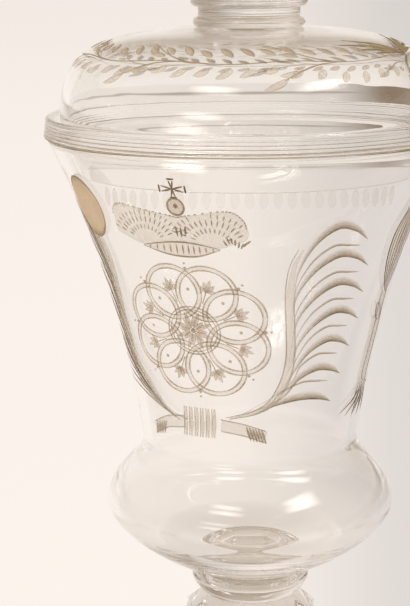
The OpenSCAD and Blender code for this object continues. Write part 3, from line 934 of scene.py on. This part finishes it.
def collar_lines():
    """The same brown lines in the two grooves beside the collar's ring."""
    groove_r = reach("cover_collar") - collar_ring
    ends = np.array([dome_top_z, collar_top_z])
    groove_wall = wall_of(np.stack([np.full(2, groove_r), ends], 1), ends, groove_r)
    round_it = np.linspace(-np.pi, np.pi, 121) * groove_r
    ups = np.array([[dome_top_z + 0.2], [dome_top_z + collar_ring_h]])
    yield strokes(groove_wall, np.stack(np.broadcast_arrays(round_it, ups), -1), 0.12, 0.4, 0.25)


engraved("engraved_garland", "cover", garland())
# Brown lines in the rim's grooves, with painted shade under the lip at the left
engraved("rim_groove_lines", "cover", rim_lines())
# Brown lines in the collar's grooves
engraved("collar_groove_lines", "cover", collar_lines())


# Floor, light and camera

table_r = 12.0
ring = np.linspace(0, 2 * np.pi, 96, endpoint=False)
floor_points = np.stack([np.sin(ring), -np.cos(ring), 0 * ring], -1) * table_r / MM
floor_points = np.concatenate([floor_points, [[0, 0, 0]]])
floor_fan = np.stack([np.full(96, 96), np.arange(96), np.roll(np.arange(96), -1)], -1)


def table_paper():
    """Pale paper: warm white, with a painted grey shade that opens to the right behind and a painted tan
    shadow close by.

    Seen in the glass it falls off to brown, a painted reflection of a darker room: most at the far right,
    less at the far left and in front, and in a strip and a right-hand corner far behind.
    """
    n = Nodes(bpy.data.materials.new("table_paper"))
    place = n.add("TexCoord").outputs["Object"]
    axes = n.add("SeparateXYZ", Vector=place).outputs
    from_eye = n.add("VectorMath", {"operation": "ADD"}, (place, (0, 0.55, 0))).outputs["Vector"]
    far, apart = (n.add("VectorMath", {"operation": "LENGTH"}, (way,)).outputs["Value"]
                  for way in (from_eye, place))
    # Painted shade: the paper turns grey to the right behind the goblet, widening away from the front
    aside = n.math("DIVIDE", axes["X"], n.math("MAXIMUM", far, 0.3))
    pale = n.ramp(n.ease(aside, -0.03, 0.11), (0.0, (1.0, 0.935, 0.885)), (1.0, (0.76, 0.725, 0.705)))
    # Painted shadow: tan paper close round the foot
    colour = n.mix(n.ease(apart, 0.03, 0.24), (0.66, 0.58, 0.51, 1), pale)
    # Painted reflection: only rays in the glass see the paper darken to brown, standing in for a darker room
    rays = n.add("LightPath").outputs
    in_glass = n.math("MAXIMUM", rays["Is Glossy Ray"], rays["Is Transmission Ray"])
    corner = n.math("MULTIPLY", n.ease(axes["Y"], 2.5, 3.2), n.ease(aside, 0.055, 0.13))
    none, most = (0, 0, 0), (0.6, 0.6, 0.6)
    strip = n.ramp(n.spread(axes["Y"], 4.0, 6.0, 0.0, 1.0),
                   (0.2, none), (0.4, most), (0.5, most), (0.7, none))
    sides = n.math("MAXIMUM", n.ease(aside, 0.13, 0.45), n.ease(aside, -0.25, -0.7, 0.5))
    dark = n.math("MULTIPLY", sides, n.ease(apart, 0.5, 1.1))
    for other in (strip, corner, n.ease(axes["Y"], -0.2, -1.2, 0.6)):
        dark = n.math("MAXIMUM", dark, other)
    # The painted reflection is mixed in here, for rays in the glass only
    colour = n.mix(n.math("MULTIPLY", dark, in_glass), colour, (0.24, 0.17, 0.11, 1))
    paper = n.add("BsdfDiffuse", Color=colour)
    seen = n.add("Emission", Color=colour, Strength=1.0)
    share = n.math("MULTIPLY", n.math("MAXIMUM", rays["Is Camera Ray"], in_glass), 0.82)
    return n.finish("Material", n.add("MixShader", None, (share, paper.outputs[0], seen.outputs[0])))


floor = new_piece("table", floor_points, table_paper(), triangles=floor_fan)


def softbox(name, azimuth, elevation, distance, width, height, power):
    """A rectangular lamp that faces the bowl from an azimuth, 0 in front and 90 on the right."""
    lamp = bpy.data.lights.new(name, "AREA")
    lamp.shape = "RECTANGLE"
    lamp.size, lamp.size_y = width, height
    lamp.energy = power
    lamp.color = (1.0, 0.97, 0.93)
    holder = bpy.data.objects.new(name, lamp)
    a, e = math.radians(azimuth), math.radians(elevation)
    away = Vector((math.sin(a) * math.cos(e), -math.cos(a) * math.cos(e), math.sin(e)))
    holder.location = Vector((0, 0, 0.2)) + away * distance
    holder.rotation_mode = "QUATERNION"
    holder.rotation_quaternion = away.to_track_quat("Z", "Y")
    holder.visible_camera = False
    scene.collection.objects.link(holder)
    return holder


def soft_border(lamp, gain=2.5):
    """Fades a lamp to nothing at its border, by a half sine wave across times one up."""
    n = Nodes(lamp)
    axes = n.add("SeparateXYZ", Vector=n.add("TexCoord").outputs["UV"]).outputs
    across, up = (n.math("SINE", n.math("MULTIPLY", axes[axis], math.pi)) for axis in ("X", "Y"))
    n.finish("Light", n.add("Emission", Strength=n.math("MULTIPLY", n.math("MULTIPLY", across, up), gain)))


soft_border(softbox("softbox_left_high", -24, 45, 1.2, 0.6, 0.2, 1.3).data)
soft_border(softbox("softbox_left_low", -28, 11, 1.2, 0.62, 0.18, 0.75).data)
soft_border(softbox("softbox_right", 56, 47, 1.2, 0.7, 0.24, 2.2).data)
overhead = softbox("overhead", 0, 90, 3.0, 6.0, 6.0, 80)
overhead.visible_glossy = False
overhead.visible_transmission = False


def room_light(world):
    """Room light by height and side: pale at the horizon behind and far up on the left, brown elsewhere."""
    n = Nodes(world)
    axes = n.add("SeparateXYZ", Vector=n.add("TexCoord").outputs["Generated"]).outputs
    ceiling = (1.0, (0.3, 0.235, 0.17))
    horizon = (0.0, (0.97, 0.905, 0.85))
    left = n.ramp(axes["Z"], horizon, (0.2, (0.93, 0.86, 0.8)), (0.5, (0.78, 0.69, 0.6)),
                  (0.75, (0.4, 0.32, 0.24)), ceiling)
    middle = n.ramp(axes["Z"], horizon, (0.08, (0.94, 0.875, 0.815)), (0.2, (0.82, 0.745, 0.67)),
                    (0.45, (0.36, 0.28, 0.2)), ceiling)
    right = n.ramp(axes["Z"], (0.0, (0.62, 0.55, 0.49)), (0.1, (0.5, 0.42, 0.35)),
                   (0.25, (0.32, 0.245, 0.18)), (1.0, (0.27, 0.205, 0.145)))
    front = n.ramp(axes["Z"], (0.0, (0.5, 0.435, 0.375)), (0.3, (0.36, 0.29, 0.225)), ceiling)
    behind = n.mix(n.ease(axes["X"], -0.6, -0.12), left, middle)
    behind = n.mix(n.ease(axes["X"], 0.12, 0.6), behind, right)
    return n.finish("World", n.add("Background", Color=n.mix(n.ease(axes["Y"], -0.5, 0.1), front, behind)))


scene.world = room_light(bpy.data.worlds.new("studio"))

# The camera stands in front and looks down, a little to the left of the axis, as the photograph was framed
frame_px = 606
lens_px = 1735.0
camera_out = 526.4
camera_z = lip_z + 60.0
camera_down = 12.1
camera_left = 1.505
camera_roll = 0.45
camera_data = bpy.data.cameras.new("camera")
camera_data.sensor_width = 36.0
camera_data.lens = camera_data.sensor_width * lens_px / frame_px
camera_data.clip_start = 0.01
camera = bpy.data.objects.new("camera", camera_data)
camera.location = (0, -camera_out * MM, camera_z * MM)
down, left = math.radians(camera_down), math.radians(camera_left)
ahead = Vector((-math.sin(left) * math.cos(down), math.cos(left) * math.cos(down), -math.sin(down)))
camera.rotation_mode = "QUATERNION"
camera.rotation_quaternion = (ahead.to_track_quat("-Z", "Y")
                              @ Quaternion((0, 0, 1), math.radians(-camera_roll)))
scene.collection.objects.link(camera)
scene.camera = camera

# Light passes many walls of glass before it reaches the camera
scene.view_settings.view_transform = "Standard"
scene.cycles.max_bounces = 128
scene.cycles.transmission_bounces = 128
scene.cycles.glossy_bounces = 128
scene.cycles.transparent_max_bounces = 32
